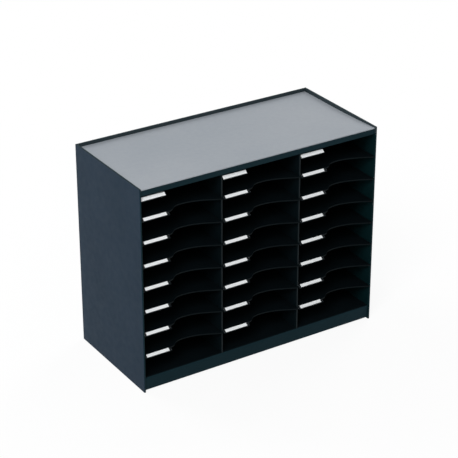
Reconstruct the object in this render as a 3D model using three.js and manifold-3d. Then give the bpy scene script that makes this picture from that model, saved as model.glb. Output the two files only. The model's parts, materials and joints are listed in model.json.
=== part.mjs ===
// A pigeonhole mail sorter: three columns of open compartments between moulded panels,
// with slide-in shelves, label cards on sloping noses and a pale panel laid in the rim of the top.
// Millimetres, +Z up, the front faces -Y, the origin is the middle of the footprint on the table.

import * as THREE from 'three';
import { mergeVertices } from 'three/addons/utils/BufferGeometryUtils.js';
import Module from 'manifold-3d';

const wasm = await Module();
wasm.setup();

// Overall size
const WIDTH = 674;
const DEPTH = 308;
const HEIGHT = 540;

// Compartments
const COLUMN_NAMES = ['left', 'middle', 'right'];
const LEVELS = 8;
const FLOOR_HEIGHT = 38;
const CEILING_DROP = 19.2;
const TOP_SQUEEZE = 2.2;

// Panels
const SIDE_WALL = 4.5;
const DIVIDER_WALL = 4;
const FRONT_SETBACK = 4;
const DIVIDER_SETBACK = 6;
const BACK_WALL = 4;
const BACK_HOUSING = 2.5;
const EDGE_RADIUS = 1.5;
const EDGE_STEPS = 4;
const DECK_WALL = 3.5;
const SKIRT_WALL = 3.5;
const RIB_WALL = 3;
const BASE_RIB_DROP = 14;
const GROUND_GAP = 4.2;
const PLINTH_RADIUS = 5;
const DECK_TONGUE = 1.2;
const DIVIDER_TONGUE = 1;

// Pale panel in the rim of the top
const INLAY_SHEET = 2.5;
const INLAY_DROP_FRONT = 2.8;
const INLAY_DROP_BACK = 8.6;
const INLAY_RAMP = 205;
const INLAY_STEPS = 10;

// Shelves
const SHELF_SHEET = 2;
const SHELF_TONGUE = 1;
const TONGUE_START = 14;
const RIM_WALL = 2;
const RIM_HEIGHT = 3.1;

// Finger bay in a shelf's front edge, along X from the left wall of the column
const BAY_DEEPEST = 123;
const BAY_DEPTH = 29.6;
const BAY_RIGHT_MARGIN = 2;
const BAY_LEFT_PULL = 22;
const BAY_LEFT_EASE = 34;
const BAY_RIGHT_EASE = 49;
const BAY_RIGHT_PULL = 10;
const BAY_STEPS = 10;

// Label cards and the channels that hold them
const LABEL_TILT = THREE.MathUtils.degToRad(38);
const CARD_SHEET = 0.5;
const CARD_WIDTH = 62;
const CARD_HEIGHT = 9;
const CARD_INSET = 7;
const TOP_CARD_WIDTH = 65.5;
const TOP_CARD_HEIGHT = 10.4;
const NOSE_LENGTH = 76;
const NOSE_WALL = 1.8;
const LIP_WALL = 0.8;
const HOOK_WALL = 0.6;
const HOOK_REACH = 0.5;
const NOSE_FRONT = 1.8;
const NOSE_FALL = 5.6;
const HOLDER_FRONT = 1.8;
const HOLDER_FALL = 12.6;
const HOLDER_WEB = 2;
const HOLDER_FLANGE = 14;

// Clearances: between fixed pieces, and round pieces that slide
const FIT = 0.2;
const GLIDE = 0.3;

// How far a cutter runs past the face it opens, and how near two corners are one
const CUT_PAST = 1;
const SAME_POINT = 1e-4;

// Places that follow from the sizes
const FRONT = -DEPTH / 2;
const BACK = DEPTH / 2;
const OUTER_X = WIDTH / 2;
const INNER_X = OUTER_X - SIDE_WALL;
const INNER_BACK = BACK - BACK_WALL;
const CEILING = HEIGHT - CEILING_DROP;
const PITCH = (CEILING + TOP_SQUEEZE - FLOOR_HEIGHT) / LEVELS;
const COLUMNS = COLUMN_NAMES.length;
const CLEAR_WIDTH = (2 * INNER_X - (COLUMNS - 1) * DIVIDER_WALL) / COLUMNS;
const STRIP_FRONT = FRONT + FRONT_SETBACK;
const SHELF_DEPTH = DEPTH - BACK_WALL - GLIDE;
const NOSE_BACK = NOSE_FRONT + (CARD_HEIGHT + 2 * FIT + LIP_WALL) * Math.cos(LABEL_TILT);

const columnLeft = (column) => -INNER_X + column * (CLEAR_WIDTH + DIVIDER_WALL);
const shelfTop = (level) => FLOOR_HEIGHT + (LEVELS - level) * PITCH;

// Colours
const DARK_PLASTIC = { color: 0x2f3942, roughness: 0.48, metalness: 0 };
const PALE_PLASTIC = { color: 0x9aa1ab, roughness: 0.55, metalness: 0 };
const WHITE_CARD = { color: 0xe4ebee, roughness: 0.75, metalness: 0 };

// Turns a closed geometry into a solid that can be joined and cut.
function solidOf(geometry) {
  const bare = geometry.index ? geometry.toNonIndexed() : geometry.clone();
  bare.deleteAttribute('normal');
  bare.deleteAttribute('uv');
  const merged = mergeVertices(bare, SAME_POINT);
  const vertProperties = new Float32Array(merged.attributes.position.array);
  const triVerts = new Uint32Array(merged.index.array);
  return new wasm.Manifold(new wasm.Mesh({ numProp: 3, vertProperties, triVerts }));
}

// Gives a solid back as a geometry.
function geometryOf(solid) {
  const { vertProperties, triVerts } = solid.getMesh();
  const geometry = new THREE.BufferGeometry();
  geometry.setAttribute('position', new THREE.BufferAttribute(new Float32Array(vertProperties), 3));
  geometry.setIndex(new THREE.BufferAttribute(new Uint32Array(triVerts), 1));
  geometry.computeVertexNormals();
  return geometry;
}

// A prism whose section is drawn with the first two axes and which runs along the third.
function prism(section, length, axes, start) {
  const geometry = new THREE.ExtrudeGeometry(section, {
    depth: length,
    bevelEnabled: false,
    curveSegments: EDGE_STEPS,
  });
  geometry.applyMatrix4(new THREE.Matrix4().makeBasis(...axes).setPosition(start));
  return solidOf(geometry);
}

const AXIS_X = new THREE.Vector3(1, 0, 0);
const AXIS_Y = new THREE.Vector3(0, 1, 0);
const AXIS_Z = new THREE.Vector3(0, 0, 1);
const AXIS_BACK_TO_FRONT = new THREE.Vector3(0, -1, 0);

// Section in X and Y, standing along Z
const prismZ = (section, low, high) =>
  prism(section, high - low, [AXIS_X, AXIS_Y, AXIS_Z], new THREE.Vector3(0, 0, low));

// Section in Y and Z, running along X
const prismX = (section, low, high) =>
  prism(section, high - low, [AXIS_Y, AXIS_Z, AXIS_X], new THREE.Vector3(low, 0, 0));

// Section in X and Z, running along Y
const prismY = (section, low, high) =>
  prism(section, high - low, [AXIS_X, AXIS_Z, AXIS_BACK_TO_FRONT], new THREE.Vector3(0, high, 0));

const polygon = (corners) => new THREE.Shape(corners.map(([a, b]) => new THREE.Vector2(a, b)));

const rectangle = (lowA, lowB, highA, highB) =>
  polygon([[lowA, lowB], [highA, lowB], [highA, highB], [lowA, highB]]);

const block = (low, high) => prismZ(rectangle(low[0], low[1], high[0], high[1]), low[2], high[2]);

const joined = (solids) => solids.reduce((sum, solid) => sum.add(solid));

function pieceOf(name, geometry, finish) {
  const piece = new THREE.Mesh(geometry, new THREE.MeshStandardMaterial(finish));
  piece.name = name;
  return piece;
}

// A wall seen from the front, with runner notches in its left and right faces, listed upwards.
function wallSection(left, right, bottom, top, leftNotches, rightNotches) {
  const corners = [[left, bottom], [right, bottom]];
  for (const { low, high, depth } of rightNotches) {
    const floor = right - depth;
    corners.push([right, low], [floor, low], [floor, high], [right, high]);
  }
  corners.push([right, top], [left, top]);
  for (const { low, high, depth } of [...leftNotches].reverse()) {
    const floor = left + depth;
    corners.push([left, high], [floor, high], [floor, low], [left, low]);
  }
  return polygon(corners);
}

// A wall's plan, with its front edge rounded.
function roundedPlan(left, right, front, back) {
  const plan = new THREE.Shape();
  plan.moveTo(left, back);
  plan.lineTo(left, front + EDGE_RADIUS);
  plan.absarc(left + EDGE_RADIUS, front + EDGE_RADIUS, EDGE_RADIUS, Math.PI, 1.5 * Math.PI);
  plan.absarc(right - EDGE_RADIUS, front + EDGE_RADIUS, EDGE_RADIUS, 1.5 * Math.PI, 2 * Math.PI);
  plan.lineTo(right, back);
  plan.closePath();
  return plan;
}

// The notches that the shelves of one column slide in, from the lowest up.
function shelfNotches() {
  const notches = [];
  for (let level = LEVELS - 1; level >= 1; level -= 1) {
    const top = shelfTop(level);
    notches.push({ low: top - SHELF_SHEET - FIT, high: top + FIT, depth: SHELF_TONGUE + GLIDE });
  }
  return notches;
}

// A side panel carries the shelves, the two decks and the back panel on its inner face.
function sidePanel(side) {
  const inner = side * INNER_X;
  const outer = side * OUTER_X;
  const left = Math.min(inner, outer);
  const right = Math.max(inner, outer);
  const deckDepth = DECK_TONGUE + FIT;
  const notches = [
    { low: FLOOR_HEIGHT - DECK_WALL - FIT, high: FLOOR_HEIGHT + FIT, depth: deckDepth },
    ...shelfNotches(),
    { low: CEILING - FIT, high: CEILING + DECK_WALL + FIT, depth: deckDepth },
  ];
  const section = wallSection(left, right, 0, HEIGHT, side > 0 ? notches : [], side < 0 ? notches : []);
  const plan = roundedPlan(left, right, FRONT, BACK);
  const panel = prismY(section, FRONT, BACK).intersect(prismZ(plan, 0, HEIGHT));
  const housingEnd = side * (INNER_X + BACK_HOUSING);
  const housing = block(
    [Math.min(housingEnd, inner), INNER_BACK - FIT, GROUND_GAP],
    [Math.max(housingEnd, inner), BACK, HEIGHT],
  );
  return panel.subtract(housing);
}

// An upright divider stands in shallow grooves of both decks.
function divider(index) {
  const left = columnLeft(index + 1) - DIVIDER_WALL;
  const right = left + DIVIDER_WALL;
  const bottom = FLOOR_HEIGHT - DIVIDER_TONGUE;
  const top = CEILING + DIVIDER_TONGUE;
  const front = FRONT + DIVIDER_SETBACK;
  const back = INNER_BACK - FIT;
  const section = wallSection(left, right, bottom, top, shelfNotches(), shelfNotches());
  const plan = roundedPlan(left, right, front, back);
  return prismY(section, front, back).intersect(prismZ(plan, bottom, top));
}

// The grooves in a deck that hold the dividers, as cutters from one height to another.
function dividerGrooves(low, high) {
  const cutters = [];
  for (let index = 0; index < COLUMNS - 1; index += 1) {
    const left = columnLeft(index + 1) - DIVIDER_WALL - FIT;
    const right = left + DIVIDER_WALL + 2 * FIT;
    cutters.push(block([left, FRONT + DIVIDER_SETBACK - FIT, low], [right, INNER_BACK, high]));
  }
  return joined(cutters);
}

// Places along X of the ribs of a deck: over each divider and just inside each side panel.
function ribCentres() {
  const centres = [-INNER_X + FIT + RIB_WALL / 2, INNER_X - FIT - RIB_WALL / 2];
  for (let index = 1; index < COLUMNS; index += 1) {
    centres.push(columnLeft(index) - DIVIDER_WALL / 2);
  }
  return centres;
}

const deckEnd = INNER_X + DECK_TONGUE;
const skirtEnd = INNER_X - FIT;
const deckBack = INNER_BACK - FIT;

// What is cut away to round the upper front edge of the plinth
function plinthEdgeCutter() {
  const past = STRIP_FRONT - CUT_PAST;
  const above = FLOOR_HEIGHT + CUT_PAST;
  const centreY = STRIP_FRONT + PLINTH_RADIUS;
  const centreZ = FLOOR_HEIGHT - PLINTH_RADIUS;
  const corner = new THREE.Shape();
  corner.moveTo(past, above);
  corner.lineTo(past, centreZ);
  corner.lineTo(STRIP_FRONT, centreZ);
  corner.absarc(centreY, centreZ, PLINTH_RADIUS, Math.PI, 0.5 * Math.PI, true);
  corner.lineTo(centreY, above);
  corner.closePath();
  return prismX(corner, -OUTER_X, OUTER_X);
}

// The base: a floor with a plinth strip in front and ribs below.
function base() {
  const under = FLOOR_HEIGHT - DECK_WALL;
  const plinthBack = STRIP_FRONT + SKIRT_WALL;
  const floor = block([-deckEnd, STRIP_FRONT, under], [deckEnd, deckBack, FLOOR_HEIGHT]);
  const plinth = block([-skirtEnd, STRIP_FRONT, GROUND_GAP], [skirtEnd, plinthBack, FLOOR_HEIGHT]);
  const tail = block([-skirtEnd, deckBack - SKIRT_WALL, GROUND_GAP], [skirtEnd, deckBack, FLOOR_HEIGHT]);
  const ribs = ribCentres().map((centre) => block(
    [centre - RIB_WALL / 2, STRIP_FRONT, under - BASE_RIB_DROP],
    [centre + RIB_WALL / 2, deckBack, under],
  ));
  const grooves = dividerGrooves(FLOOR_HEIGHT - DIVIDER_TONGUE - FIT, FLOOR_HEIGHT + CUT_PAST);
  return joined([floor, plinth, tail, ...ribs]).subtract(grooves).subtract(plinthEdgeCutter());
}

// Height of the pale panel's upper face at a place along Y: it falls from the front, then lies level.
function inlayTop(y) {
  const share = Math.min((y - STRIP_FRONT) / INLAY_RAMP, 1);
  const fall = 1 - (1 - share) ** 2;
  return HEIGHT - THREE.MathUtils.lerp(INLAY_DROP_FRONT, INLAY_DROP_BACK, fall);
}

// Places along Y where the pale panel bends, between two places and with them.
function inlayStations(from, to) {
  const stations = [from];
  for (let step = 1; step <= INLAY_STEPS; step += 1) {
    const place = STRIP_FRONT + (step / INLAY_STEPS) * INLAY_RAMP;
    if (place > from && place < to) {
      stations.push(place);
    }
  }
  return [...stations, to];
}

// The top: a ceiling with the fascia in front and curved ribs that carry the pale panel.
function top() {
  const over = CEILING + DECK_WALL;
  const fasciaBack = STRIP_FRONT + SKIRT_WALL;
  const tailFront = deckBack - SKIRT_WALL;
  const ceiling = block([-deckEnd, STRIP_FRONT, CEILING], [deckEnd, deckBack, over]);
  const bearer = (from, to) => {
    const crest = inlayStations(from, to).map((y) => [y, inlayTop(y) - INLAY_SHEET - FIT]);
    return polygon([[from, CEILING], [to, CEILING], ...crest.reverse()]);
  };
  const fascia = prismX(bearer(STRIP_FRONT, fasciaBack), -skirtEnd, skirtEnd);
  const tail = prismX(bearer(tailFront, deckBack), -skirtEnd, skirtEnd);
  const ribs = ribCentres().map((centre) =>
    prismX(bearer(STRIP_FRONT, deckBack), centre - RIB_WALL / 2, centre + RIB_WALL / 2));
  const grooves = dividerGrooves(CEILING - CUT_PAST, CEILING + DIVIDER_TONGUE + FIT);
  return joined([ceiling, fascia, tail, ...ribs]).subtract(grooves);
}

// The pale panel lies on the ribs between the side panels, bent down from the front.
function inlay() {
  const upper = inlayStations(STRIP_FRONT, deckBack).map((y) => [y, inlayTop(y)]);
  const lower = upper.map(([y, z]) => [y, z - INLAY_SHEET]);
  return prismX(polygon([...lower, ...upper.reverse()]), -INNER_X + GLIDE, INNER_X - GLIDE);
}

function backPanel() {
  const end = INNER_X + BACK_HOUSING - FIT;
  return block([-end, INNER_BACK, GROUND_GAP], [end, BACK, HEIGHT]);
}

// The section of a label channel: a sloping floor with a hooked lip along each long edge.
// The start is the lower corner of the floor, in Y and Z.
function channelSection(cardHeight, startY, startZ) {
  const run = cardHeight + 2 * FIT;
  const pocket = CARD_SHEET + 2 * FIT;
  const crest = pocket + HOOK_WALL;
  const slopeCorners = [
    [-LIP_WALL, -NOSE_WALL], [run + LIP_WALL, -NOSE_WALL], [run + LIP_WALL, crest],
    [run - HOOK_REACH, crest], [run - HOOK_REACH, pocket], [run, pocket], [run, 0],
    [0, 0], [0, pocket], [HOOK_REACH, pocket], [HOOK_REACH, crest], [-LIP_WALL, crest],
  ];
  const along = Math.cos(LABEL_TILT);
  const rise = Math.sin(LABEL_TILT);
  return polygon(slopeCorners.map(([u, n]) => [
    startY + u * along - n * rise,
    startZ + u * rise + n * along,
  ]));
}

// The front edge of a shelf from the label nose to the right wall: into the finger bay and out of it.
function shelfFrontEdge() {
  const bayEnd = CLEAR_WIDTH - BAY_RIGHT_MARGIN;
  const path = new THREE.Path();
  path.moveTo(NOSE_LENGTH, NOSE_BACK);
  path.bezierCurveTo(
    NOSE_LENGTH + BAY_LEFT_PULL, NOSE_BACK, BAY_DEEPEST - BAY_LEFT_EASE, BAY_DEPTH, BAY_DEEPEST, BAY_DEPTH);
  path.bezierCurveTo(
    BAY_DEEPEST + BAY_RIGHT_EASE, BAY_DEPTH, bayEnd - BAY_RIGHT_PULL, 0, bayEnd, 0);
  path.lineTo(CLEAR_WIDTH - GLIDE, 0);
  return path.getPoints(BAY_STEPS);
}

// A strip of even width that lies behind a line of points which runs to the right.
function stripBehind(points, width) {
  const inner = points.map((point, index) => {
    const before = points[Math.max(index - 1, 0)];
    const after = points[Math.min(index + 1, points.length - 1)];
    const along = after.clone().sub(before).normalize();
    return new THREE.Vector2(point.x - along.y * width, point.y + along.x * width);
  });
  return new THREE.Shape([...points, ...inner.reverse()]);
}

// One shelf, with the column's left wall at X 0, the front at Y 0 and its upper face at Z 0.
function shelf() {
  const edge = shelfFrontEdge();
  const wide = CLEAR_WIDTH + SHELF_TONGUE;
  const narrow = CLEAR_WIDTH - GLIDE;
  const plan = new THREE.Shape([
    new THREE.Vector2(GLIDE, NOSE_BACK),
    ...edge,
    new THREE.Vector2(narrow, TONGUE_START),
    new THREE.Vector2(wide, TONGUE_START),
    new THREE.Vector2(wide, SHELF_DEPTH),
    new THREE.Vector2(-SHELF_TONGUE, SHELF_DEPTH),
    new THREE.Vector2(-SHELF_TONGUE, TONGUE_START),
    new THREE.Vector2(GLIDE, TONGUE_START),
  ]);
  const sheet = prismZ(plan, -SHELF_SHEET, 0);
  const rim = prismZ(stripBehind(edge, RIM_WALL), -RIM_HEIGHT, 0);
  const nose = prismX(channelSection(CARD_HEIGHT, NOSE_FRONT, -NOSE_FALL), GLIDE, NOSE_LENGTH);
  return joined([sheet, rim, nose]);
}

// The label holder of a top compartment: a channel on a web, with a flange under the ceiling at Z 0.
function topHolder() {
  const length = TOP_CARD_WIDTH + 2 * FIT;
  const channel = channelSection(TOP_CARD_HEIGHT, HOLDER_FRONT, -HOLDER_FALL);
  const run = TOP_CARD_HEIGHT + 2 * FIT + LIP_WALL;
  const webFront = HOLDER_FRONT + run * Math.cos(LABEL_TILT);
  const webLow = -HOLDER_FALL + run * Math.sin(LABEL_TILT) - HOLDER_WEB;
  const bracket = polygon([
    [webFront, webLow],
    [webFront + HOLDER_WEB, webLow],
    [webFront + HOLDER_WEB, -HOLDER_WEB],
    [webFront + HOLDER_FLANGE, -HOLDER_WEB],
    [webFront + HOLDER_FLANGE, 0],
    [webFront, 0],
  ]);
  return prismX(channel, GLIDE, GLIDE + length).add(prismX(bracket, GLIDE, GLIDE + length));
}

// A label card, lying in its channel: the start is the lower corner of the channel's floor.
function labelCard(name, width, height, left, startY, startZ) {
  const card = pieceOf(name, new THREE.BoxGeometry(width, height, CARD_SHEET), WHITE_CARD);
  const middle = FIT + height / 2;
  const lift = FIT + CARD_SHEET / 2;
  const along = Math.cos(LABEL_TILT);
  const rise = Math.sin(LABEL_TILT);
  card.position.set(
    left + width / 2, startY + middle * along - lift * rise, startZ + middle * rise + lift * along);
  card.rotation.x = LABEL_TILT;
  return card;
}

const sorter = new THREE.Group();

const fixedPieces = [
  ['left_side', sidePanel(-1), DARK_PLASTIC],
  ['right_side', sidePanel(1), DARK_PLASTIC],
  ['left_divider', divider(0), DARK_PLASTIC],
  ['right_divider', divider(1), DARK_PLASTIC],
  ['back_panel', backPanel(), DARK_PLASTIC],
  ['base', base(), DARK_PLASTIC],
  ['top', top(), DARK_PLASTIC],
  ['top_panel', inlay(), PALE_PLASTIC],
];
for (const [name, solid, finish] of fixedPieces) {
  sorter.add(pieceOf(name, geometryOf(solid), finish));
}

const shelfGeometry = geometryOf(shelf());
const holderGeometry = geometryOf(topHolder());

COLUMN_NAMES.forEach((columnName, column) => {
  const bay = new THREE.Group();
  bay.position.set(columnLeft(column), FRONT, 0);
  sorter.add(bay);

  const holder = pieceOf(`top_label_holder_${columnName}`, holderGeometry, DARK_PLASTIC);
  holder.position.z = CEILING;
  bay.add(holder);
  bay.add(labelCard(
    `label_card_${columnName}_1`, TOP_CARD_WIDTH, TOP_CARD_HEIGHT,
    GLIDE + FIT, HOLDER_FRONT, CEILING - HOLDER_FALL));

  for (let level = 1; level < LEVELS; level += 1) {
    const plate = pieceOf(`shelf_${columnName}_${level}`, shelfGeometry, DARK_PLASTIC);
    plate.position.z = shelfTop(level);
    bay.add(plate);
    bay.add(labelCard(
      `label_card_${columnName}_${level + 1}`, CARD_WIDTH, CARD_HEIGHT,
      CARD_INSET, NOSE_FRONT, shelfTop(level) - NOSE_FALL));
  }
});

export default sorter;
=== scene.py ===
"""Looks of a pigeonhole mail sorter: moulded plastic, a pale top panel and white cards under clear covers.

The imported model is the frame: its solids keep their shape and place, and get fine edges and materials here.
Metres, +Z up, the open front faces -Y.
"""

import json
import math

import bmesh
import bpy
from mathutils import Matrix, Vector


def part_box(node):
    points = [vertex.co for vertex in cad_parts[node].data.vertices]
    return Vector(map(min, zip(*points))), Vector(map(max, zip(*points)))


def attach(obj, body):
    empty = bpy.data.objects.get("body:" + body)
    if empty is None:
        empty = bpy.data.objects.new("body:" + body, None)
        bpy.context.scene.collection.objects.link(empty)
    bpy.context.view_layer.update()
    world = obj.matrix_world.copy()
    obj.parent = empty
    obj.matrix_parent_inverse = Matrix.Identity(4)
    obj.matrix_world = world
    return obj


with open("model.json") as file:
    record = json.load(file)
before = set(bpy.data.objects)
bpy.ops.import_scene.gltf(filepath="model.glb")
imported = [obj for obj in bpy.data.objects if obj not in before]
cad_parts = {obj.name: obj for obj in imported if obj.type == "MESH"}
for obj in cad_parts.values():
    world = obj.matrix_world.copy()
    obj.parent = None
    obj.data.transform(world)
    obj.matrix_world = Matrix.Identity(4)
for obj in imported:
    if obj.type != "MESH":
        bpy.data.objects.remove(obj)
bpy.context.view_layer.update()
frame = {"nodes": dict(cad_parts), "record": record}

MM = 0.001
LEFTWARD = (-1, 0, 0)
RIGHTWARD = (1, 0, 0)
FORWARD = (0, -1, 0)
BACKWARD = (0, 1, 0)

# Camera: place, bearing to the right of +Y, and fall below the horizon
CAMERA_PLACE = (-2.064, -3.227, 2.208)
CAMERA_BEARING = math.radians(32.64)
CAMERA_FALL = math.radians(26.65)
CAMERA_LENS = 135
CAMERA_SENSOR = 36
CAMERA_REACH = 200

# Lamps: name, place, side length and power; each one faces a point near the middle of the part
LAMPS = (
    ("front", (-3.1, -2.8, 4.05), 2.4, 242),
    ("right", (3.2, 1.6, 1.9), 1.8, 60),
    ("back", (-1.4, 3.2, 1.9), 1.8, 60),
)
LAMP_AIM = (0, 0, 0.3)

# Surround: the light that it gives, and the white that the eye sees
AMBIENT_TINT = (0.94, 0.97, 1.0)
AMBIENT_STRENGTH = 0.25
BACKGROUND_TINT = (1, 1, 1)
WHITE_STRENGTH = 1

# Floor: its share of own white near the part, where shadows fall, and the distances over which that fills
FLOOR_RADIUS = 30
FLOOR_SIDES = 96
FLOOR_TINT = (0.90, 0.90, 0.90)
FLOOR_ROUGHNESS = 0.9
FLOOR_GLOSS = 0.1
FLOOR_GLOW = 0.9
FLOOR_GLOW_STARTS = 0.5
FLOOR_GLOW_ENDS = 1.5

# Colours as linear values: the deep and the pale tone of each cloudy mix
# Shell, trim, wall, lining and insert are one slate plastic in lit and shaded copies, painted shade: outer
# faces lightest, faces turned across darker, inner faces and shelves near black
SHELL_TONES = ((0.0136, 0.0250, 0.0405), (0.0166, 0.0292, 0.0468))
TRIM_TONES = ((0.0056, 0.0160, 0.0204), (0.0071, 0.0187, 0.0241))
LINING_TONES = ((0.0008, 0.0030, 0.0042), (0.0012, 0.0038, 0.0052))
WALL_TONES = ((0.0010, 0.0092, 0.0108), (0.0014, 0.0108, 0.0124))
# Painted light: paler tones on the rims above the top piece, where light from above and off the pale panel
# falls
PAINTED_RIM_LIGHT_TONES = ((0.019, 0.029, 0.034), (0.025, 0.036, 0.041))
INSERT_TONES = ((0.0014, 0.0028, 0.0036), (0.0020, 0.0038, 0.0048))
GREY_TONES = ((0.280, 0.306, 0.336), (0.308, 0.330, 0.358))
CARD_TONES = ((0.92, 0.945, 0.95), (0.945, 0.965, 0.97))
FILM_TINT = (0.15, 0.16, 0.17)
FILM_COVERAGE = 0.04

# Gloss: how strong the mirrored light is, and its tint
SHELL_GLOSS = 0.05
TRIM_GLOSS = 0.05
LINING_GLOSS = 0.17
WALL_GLOSS = 0.12
INSERT_GLOSS = 0.06
GREY_GLOSS = 0.15
OUTER_MIRROR = (0.40, 0.80, 1.0)
INNER_MIRROR = (0.80, 0.95, 1.0)

# Roughness, from and to
SLATE_ROUGHNESS = (0.44, 0.56)
GREY_ROUGHNESS = (0.42, 0.55)
CARD_ROUGHNESS = (0.62, 0.78)
FILM_ROUGHNESS = (0.10, 0.30)

# Noise fields: scale per metre and number of finer layers, and the middle range that is used
SLATE_CLOUDS = (9, 4)
SLATE_PATCHES = (60, 3)
# Noise of the painted light on the rims
PAINTED_RIM_LIGHT_CLOUDS = (40, 4)
GREY_CLOUDS = (5, 4)
GREY_PATCHES = (90, 2)
CARD_FIBRES = (700, 5)
CARD_PATCHES = (300, 3)
FILM_SCUFFS = (240, 4)
NOISE_LOW = 0.3
NOISE_HIGH = 0.7

# Grain: scale per metre, height and strength
SLATE_GRAIN = (1400, 0.05 * MM, 0.35)
GREY_GRAIN = (1100, 0.06 * MM, 0.4)
CARD_GRAIN = (2600, 0.01 * MM, 0.1)
GRAIN_LAYERS = 3

# Fine edges: how far each kind of piece is rounded, and what counts as an edge
PANEL_EDGE = 0.6 * MM
WALL_EDGE = 0.25 * MM
SHELF_EDGE = 0.2 * MM
CARD_EDGE = 0.08 * MM
EDGE_STEPS = 2
SMOOTH_BELOW = math.radians(30)
SAME_POINT = 0.002 * MM

# Painted shade and light: how far a face may turn from the outward way before it gets a shaded copy, and the
# fade at the foot of the painted light on the rim above the top piece
SHADE_TURN = math.radians(60)
PAINTED_LIGHT_FADE = 3 * MM

# Label channels, as in the solids: rows, slope, length on a shelf, and the room round a card
COLUMNS = ("left", "middle", "right")
LEVELS = 8
LABEL_TILT = math.radians(38)
NOSE_LENGTH = 76 * MM
CARD_GAP = 0.2 * MM
CARD_SHEET = 0.5 * MM

# Clear covers: film, room over the card, crown, and room at the ends of the channel
COVER_SHEET = 0.1 * MM
COVER_LIFT = 0.08 * MM
COVER_CROWN = 0.35 * MM
COVER_END_GAP = 0.6 * MM
COVER_STEPS = 8


def fresh_material(name):
    """A new material, its node tree and its shader."""
    material = bpy.data.materials.new(name)
    material.use_nodes = True
    tree = material.node_tree
    return material, tree, tree.nodes["Principled BSDF"]


def noise(tree, scale, layers):
    """A noise field in the part's own metres."""
    coordinates = tree.nodes.new("ShaderNodeTexCoord")
    field = tree.nodes.new("ShaderNodeTexNoise")
    field.inputs["Scale"].default_value = scale
    field.inputs["Detail"].default_value = layers
    tree.links.new(coordinates.outputs["Object"], field.inputs["Vector"])
    return field.outputs["Fac"]


def between(tree, field, low, high):
    """The field's middle range spread from low to high."""
    spread = tree.nodes.new("ShaderNodeMapRange")
    spread.inputs["From Min"].default_value = NOISE_LOW
    spread.inputs["From Max"].default_value = NOISE_HIGH
    spread.inputs["To Min"].default_value = low
    spread.inputs["To Max"].default_value = high
    tree.links.new(field, spread.inputs["Value"])
    return spread.outputs["Result"]


def two_tones(tree, field, tones):
    """The field's middle range as a mix of a deep and a pale tone."""
    ramp = tree.nodes.new("ShaderNodeValToRGB")
    for stop, place, tone in zip(ramp.color_ramp.elements, (NOISE_LOW, NOISE_HIGH), tones):
        stop.position = place
        stop.color = (*tone, 1)
    tree.links.new(field, ramp.inputs["Fac"])
    return ramp.outputs["Color"]


def grain(tree, shader, scale, height, strength):
    """A fine bump all over the surface."""
    bump = tree.nodes.new("ShaderNodeBump")
    bump.inputs["Distance"].default_value = height
    bump.inputs["Strength"].default_value = strength
    tree.links.new(noise(tree, scale, GRAIN_LAYERS), bump.inputs["Height"])
    tree.links.new(bump.outputs["Normal"], shader.inputs["Normal"])


def painted_light_above(tree, colour, height):
    """The colour, turning paler over a short fade above a height: painted light on the rim where it stands
    above the top piece.
    """
    coordinates = tree.nodes.new("ShaderNodeTexCoord")
    axes = tree.nodes.new("ShaderNodeSeparateXYZ")
    tree.links.new(coordinates.outputs["Object"], axes.inputs["Vector"])
    fade = tree.nodes.new("ShaderNodeMapRange")
    fade.inputs["From Min"].default_value = height
    fade.inputs["From Max"].default_value = height + PAINTED_LIGHT_FADE
    tree.links.new(axes.outputs["Z"], fade.inputs["Value"])
    mix = tree.nodes.new("ShaderNodeMix")
    mix.data_type = "RGBA"
    tree.links.new(fade.outputs["Result"], mix.inputs["Factor"])
    tree.links.new(colour, mix.inputs["A"])
    tree.links.new(two_tones(tree, noise(tree, *PAINTED_RIM_LIGHT_CLOUDS), PAINTED_RIM_LIGHT_TONES), mix.inputs["B"])
    return mix.outputs["Result"]


def slate_plastic(name, tones, gloss, mirror, painted_light_from=None):
    """Dark moulded plastic with faint clouds and a fine eroded grain, and painted light above a height on the
    rim.
    """
    material, tree, shader = fresh_material(name)
    colour = two_tones(tree, noise(tree, *SLATE_CLOUDS), tones)
    if painted_light_from:
        colour = painted_light_above(tree, colour, painted_light_from)
    tree.links.new(colour, shader.inputs["Base Color"])
    roughness = between(tree, noise(tree, *SLATE_PATCHES), *SLATE_ROUGHNESS)
    tree.links.new(roughness, shader.inputs["Roughness"])
    shader.inputs["Specular IOR Level"].default_value = gloss
    shader.inputs["Specular Tint"].default_value = (*mirror, 1)
    grain(tree, shader, *SLATE_GRAIN)
    return material


def grey_panel():
    """Pale satin panel with a soft stipple."""
    material, tree, shader = fresh_material("grey_panel")
    tree.links.new(two_tones(tree, noise(tree, *GREY_CLOUDS), GREY_TONES), shader.inputs["Base Color"])
    roughness = between(tree, noise(tree, *GREY_PATCHES), *GREY_ROUGHNESS)
    tree.links.new(roughness, shader.inputs["Roughness"])
    shader.inputs["Specular IOR Level"].default_value = GREY_GLOSS
    grain(tree, shader, *GREY_GRAIN)
    return material


def card_stock():
    """White board with a fine fibre."""
    material, tree, shader = fresh_material("card_stock")
    tree.links.new(two_tones(tree, noise(tree, *CARD_FIBRES), CARD_TONES), shader.inputs["Base Color"])
    roughness = between(tree, noise(tree, *CARD_PATCHES), *CARD_ROUGHNESS)
    tree.links.new(roughness, shader.inputs["Roughness"])
    grain(tree, shader, *CARD_GRAIN)
    return material


def clear_film():
    """Thin clear plastic with a faint tint and faint scuffs."""
    material, tree, shader = fresh_material("clear_film")
    shader.inputs["Base Color"].default_value = (*FILM_TINT, 1)
    shader.inputs["Alpha"].default_value = FILM_COVERAGE
    roughness = between(tree, noise(tree, *FILM_SCUFFS), *FILM_ROUGHNESS)
    tree.links.new(roughness, shader.inputs["Roughness"])
    return material


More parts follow.
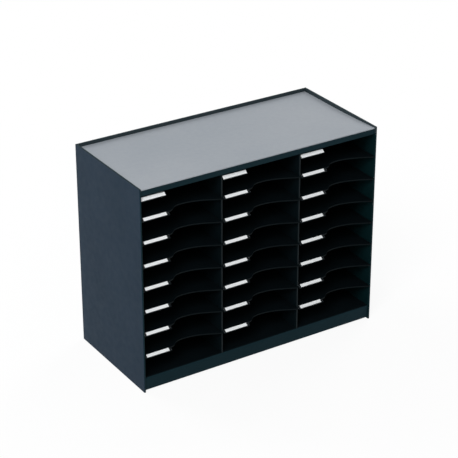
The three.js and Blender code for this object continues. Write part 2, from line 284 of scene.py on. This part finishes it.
def pale_floor():
    """Matt white that shows its own white to the eye, and a faint shadow near the part."""
    material, tree, shader = fresh_material("pale_floor")
    shader.inputs["Base Color"].default_value = (*FLOOR_TINT, 1)
    shader.inputs["Roughness"].default_value = FLOOR_ROUGHNESS
    shader.inputs["Specular IOR Level"].default_value = FLOOR_GLOSS
    glow = tree.nodes.new("ShaderNodeEmission")
    glow.inputs["Strength"].default_value = WHITE_STRENGTH
    share = tree.nodes.new("ShaderNodeMath")
    share.operation = "MULTIPLY"
    tree.links.new(background_ray(tree), share.inputs[0])
    tree.links.new(glow_share(tree), share.inputs[1])
    mix = tree.nodes.new("ShaderNodeMixShader")
    tree.links.new(share.outputs[0], mix.inputs["Fac"])
    tree.links.new(shader.outputs[0], mix.inputs[1])
    tree.links.new(glow.outputs[0], mix.inputs[2])
    tree.links.new(mix.outputs[0], tree.nodes["Material Output"].inputs["Surface"])
    return material


def background_ray(tree):
    """1 where the eye sees the background itself, in a mirror or through glass, and 0 for its light."""
    path = tree.nodes.new("ShaderNodeLightPath")
    seen = path.outputs["Is Camera Ray"]
    for ray in ("Is Glossy Ray", "Is Transmission Ray"):
        either = tree.nodes.new("ShaderNodeMath")
        either.operation = "MAXIMUM"
        tree.links.new(seen, either.inputs[0])
        tree.links.new(path.outputs[ray], either.inputs[1])
        seen = either.outputs[0]
    return seen


def glow_share(tree):
    """How much of the floor is its own white: less round the part, and all of it farther off."""
    coordinates = tree.nodes.new("ShaderNodeTexCoord")
    distance = tree.nodes.new("ShaderNodeVectorMath")
    distance.operation = "LENGTH"
    tree.links.new(coordinates.outputs["Object"], distance.inputs[0])
    share = tree.nodes.new("ShaderNodeMapRange")
    share.inputs["From Min"].default_value = FLOOR_GLOW_STARTS
    share.inputs["From Max"].default_value = FLOOR_GLOW_ENDS
    share.inputs["To Min"].default_value = FLOOR_GLOW
    tree.links.new(distance.outputs["Value"], share.inputs["Value"])
    return share.outputs["Result"]


def geometry_group(name):
    """An empty node group for a modifier, with its start and its end."""
    group = bpy.data.node_groups.new(name, "GeometryNodeTree")
    for way in ("INPUT", "OUTPUT"):
        group.interface.new_socket("Geometry", in_out=way, socket_type="NodeSocketGeometry")
    return group, group.nodes.new("NodeGroupInput"), group.nodes.new("NodeGroupOutput")


def smooth_by_angle():
    """A node group that joins split corners and shades gentle bends smooth."""
    group, start, end = geometry_group("smooth_by_angle")
    join = group.nodes.new("GeometryNodeMergeByDistance")
    join.inputs["Distance"].default_value = SAME_POINT
    faces = group.nodes.new("GeometryNodeSetShadeSmooth")
    angle = group.nodes.new("GeometryNodeInputMeshEdgeAngle")
    gentle = group.nodes.new("FunctionNodeCompare")
    gentle.operation = "LESS_THAN"
    gentle.inputs["B"].default_value = SMOOTH_BELOW
    edges = group.nodes.new("GeometryNodeSetShadeSmooth")
    edges.domain = "EDGE"
    group.links.new(start.outputs["Geometry"], join.inputs["Geometry"])
    group.links.new(join.outputs["Geometry"], faces.inputs["Geometry"])
    group.links.new(faces.outputs["Geometry"], edges.inputs["Geometry"])
    group.links.new(angle.outputs["Unsigned Angle"], gentle.inputs["A"])
    group.links.new(gentle.outputs["Result"], edges.inputs["Shade Smooth"])
    group.links.new(edges.outputs["Geometry"], end.inputs["Geometry"])
    return group


def shade_by_facing(outward):
    """A node group that leaves the first material on faces that look outward: lit and shaded copies of one
    plastic, painted shade by the way a face looks.

    Faces across that way get the second material, and faces that look inward the third.
    """
    group, start, end = geometry_group("shade_by_facing")
    normal = group.nodes.new("GeometryNodeInputNormal")
    facing = group.nodes.new("ShaderNodeVectorMath")
    facing.operation = "DOT_PRODUCT"
    facing.inputs[1].default_value = outward
    group.links.new(normal.outputs["Normal"], facing.inputs[0])
    geometry = start.outputs["Geometry"]
    for slot, limit in ((1, math.cos(SHADE_TURN)), (2, -math.cos(SHADE_TURN))):
        turned = group.nodes.new("FunctionNodeCompare")
        turned.operation = "LESS_THAN"
        turned.inputs["B"].default_value = limit
        shade_copy = group.nodes.new("GeometryNodeSetMaterialIndex")
        shade_copy.inputs["Material Index"].default_value = slot
        group.links.new(facing.outputs["Value"], turned.inputs["A"])
        group.links.new(turned.outputs["Result"], shade_copy.inputs["Selection"])
        group.links.new(geometry, shade_copy.inputs["Geometry"])
        geometry = shade_copy.outputs["Geometry"]
    group.links.new(geometry, end.inputs["Geometry"])
    return group


SHADING = smooth_by_angle()
# Lit and shaded copies of one slate plastic, painted shade; lining and wall also get painted light on the rim
# above the top piece
SHELL = slate_plastic("slate_shell", SHELL_TONES, SHELL_GLOSS, OUTER_MIRROR)
TRIM = slate_plastic("slate_trim", TRIM_TONES, TRIM_GLOSS, OUTER_MIRROR)
LINING = slate_plastic("slate_lining", LINING_TONES, LINING_GLOSS, INNER_MIRROR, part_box("top")[0].z)
WALL = slate_plastic("slate_wall", WALL_TONES, WALL_GLOSS, INNER_MIRROR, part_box("top")[0].z)
INSERT = slate_plastic("slate_insert", INSERT_TONES, INSERT_GLOSS, INNER_MIRROR)
GREY = grey_panel()
CARD = card_stock()
FILM = clear_film()


def dress(node, shade_copies, edge, outward=None):
    """Gives a solid its materials, with lit and shaded copies by the way its faces look as painted shade, and
    a fine rounded edge.
    """
    piece = frame["nodes"][node]
    piece.data.materials.clear()
    for material in shade_copies:
        piece.data.materials.append(material)
    if outward:
        shade_copy = piece.modifiers.new("shade_copy", "NODES")
        shade_copy.node_group = shade_by_facing(outward)
    shading = piece.modifiers.new("shading", "NODES")
    shading.node_group = SHADING
    rounding = piece.modifiers.new("rounding", "BEVEL")
    rounding.width = edge
    rounding.segments = EDGE_STEPS
    rounding.limit_method = "ANGLE"
    rounding.angle_limit = SMOOTH_BELOW
    rounding.use_clamp_overlap = True
    rounding.harden_normals = True


def look_of(node):
    """The materials of a solid, how far its edges are rounded, and which way its first material looks; the
    others, where there are any, are shaded copies, painted shade.
    """
    if node == "top_panel":
        return [GREY], PANEL_EDGE
    if node.startswith("label_card"):
        return [CARD], CARD_EDGE
    if node.startswith(("shelf", "top_label_holder")):
        return [INSERT], SHELF_EDGE
    if node.endswith("divider"):
        return [LINING], WALL_EDGE
    if node == "left_side":
        return [SHELL, TRIM, WALL], WALL_EDGE, LEFTWARD
    if node == "right_side":
        return [SHELL, TRIM, WALL], WALL_EDGE, RIGHTWARD
    if node == "back_panel":
        return [SHELL, TRIM, LINING], PANEL_EDGE, BACKWARD
    return [TRIM, INSERT, INSERT], PANEL_EDGE, FORWARD


def new_object(name, data):
    """A new object in the scene."""
    thing = bpy.data.objects.new(name, data)
    bpy.context.scene.collection.objects.link(thing)
    return thing


def mesh_object(name, mesh, material):
    """A new object from a mesh under construction, which is used up."""
    data = bpy.data.meshes.new(name)
    mesh.to_mesh(data)
    mesh.free()
    data.materials.append(material)
    return new_object(name, data)


def body_of(node):
    """The body that a solid moves with."""
    for body, members in frame["record"]["behaviour"]["bodies"].items():
        if node in members:
            return body


def card_channel(card):
    """The lower corner of a card's channel floor in Y and Z, and the card's height along the slope."""
    low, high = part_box(card)
    run, rise = math.cos(LABEL_TILT), math.sin(LABEL_TILT)
    height = (high.y - low.y - CARD_SHEET * rise) / run
    corner_y = low.y - CARD_GAP * run + (CARD_GAP + CARD_SHEET) * rise
    corner_z = low.z - CARD_GAP * rise - CARD_GAP * run
    return corner_y, corner_z, height


def cover_section(height):
    """A crowned film across the channel, as points along the slope and off its floor: over and back under."""
    under = []
    for step in range(COVER_STEPS + 1):
        share = step / COVER_STEPS
        crown = COVER_CROWN * math.sin(math.pi * share)
        under.append((CARD_GAP + share * height, CARD_GAP + CARD_SHEET + COVER_LIFT + crown))
    over = [(along, off + COVER_SHEET) for along, off in under]
    return over + under[::-1]


def clear_cover(card, left, right):
    """A thin crowned film over a card, held under the lips of its channel."""
    corner_y, corner_z, height = card_channel(card)
    place = Matrix.Translation((0, corner_y, corner_z)) @ Matrix.Rotation(LABEL_TILT, 4, "X")
    section = cover_section(height)
    count = len(section)
    mesh = bmesh.new()
    rings = []
    for x in (left, right):
        rings.append([mesh.verts.new(place @ Vector((x, along, off))) for along, off in section])
    for index in range(count):
        after = (index + 1) % count
        mesh.faces.new((rings[0][index], rings[0][after], rings[1][after], rings[1][index]))
    for step in range(COVER_STEPS):
        for ring in rings:
            mesh.faces.new((ring[step], ring[step + 1], ring[count - 2 - step], ring[count - 1 - step]))
    bmesh.ops.recalc_face_normals(mesh, faces=mesh.faces)
    return mesh_object(card.replace("label_card", "clear_cover"), mesh, FILM)


def cover_cards(column):
    """Puts a clear cover over each card of a column, which moves with the channel that holds it."""
    holder = f"top_label_holder_{column}"
    holder_low, holder_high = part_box(holder)
    for level in range(1, LEVELS + 1):
        card = f"label_card_{column}_{level}"
        carrier = holder if level == 1 else f"shelf_{column}_{level - 1}"
        end = holder_high.x if level == 1 else holder_low.x + NOSE_LENGTH
        cover = clear_cover(card, holder_low.x + COVER_END_GAP, end - COVER_END_GAP)
        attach(cover, body_of(carrier))


def surround():
    """A white background that lights the part only faintly."""
    world = bpy.data.worlds.new("studio")
    bpy.context.scene.world = world
    world.use_nodes = True
    tree = world.node_tree
    light = tree.nodes["Background"]
    light.inputs["Color"].default_value = (*AMBIENT_TINT, 1)
    light.inputs["Strength"].default_value = AMBIENT_STRENGTH
    seen = tree.nodes.new("ShaderNodeBackground")
    seen.inputs["Color"].default_value = (*BACKGROUND_TINT, 1)
    seen.inputs["Strength"].default_value = WHITE_STRENGTH
    pick = tree.nodes.new("ShaderNodeMixShader")
    tree.links.new(background_ray(tree), pick.inputs["Fac"])
    tree.links.new(light.outputs[0], pick.inputs[1])
    tree.links.new(seen.outputs[0], pick.inputs[2])
    tree.links.new(pick.outputs[0], tree.nodes["World Output"].inputs["Surface"])


def floor():
    """A wide disc under the part."""
    mesh = bmesh.new()
    bmesh.ops.create_circle(mesh, cap_ends=True, segments=FLOOR_SIDES, radius=FLOOR_RADIUS)
    mesh_object("floor", mesh, pale_floor())


def lamp(name, place, side, power):
    """A soft square lamp that faces the part."""
    data = bpy.data.lights.new(name, "AREA")
    data.shape = "SQUARE"
    data.size = side
    data.energy = power
    light = new_object(name, data)
    light.location = place
    light.rotation_euler = (Vector(LAMP_AIM) - Vector(place)).to_track_quat("-Z", "Y").to_euler()


def camera():
    """The eye, set by its place, bearing and fall."""
    data = bpy.data.cameras.new("camera")
    data.lens = CAMERA_LENS
    data.sensor_width = CAMERA_SENSOR
    data.clip_end = CAMERA_REACH
    ahead = Vector((
        math.sin(CAMERA_BEARING) * math.cos(CAMERA_FALL),
        math.cos(CAMERA_BEARING) * math.cos(CAMERA_FALL),
        -math.sin(CAMERA_FALL),
    ))
    eye = new_object("camera", data)
    eye.location = CAMERA_PLACE
    eye.rotation_euler = ahead.to_track_quat("-Z", "Y").to_euler()
    bpy.context.scene.camera = eye


for node in frame["nodes"]:
    dress(node, *look_of(node))
for column in COLUMNS:
    cover_cards(column)

bpy.context.scene.view_settings.view_transform = "Standard"
surround()
floor()
for settings in LAMPS:
    lamp(*settings)
camera()
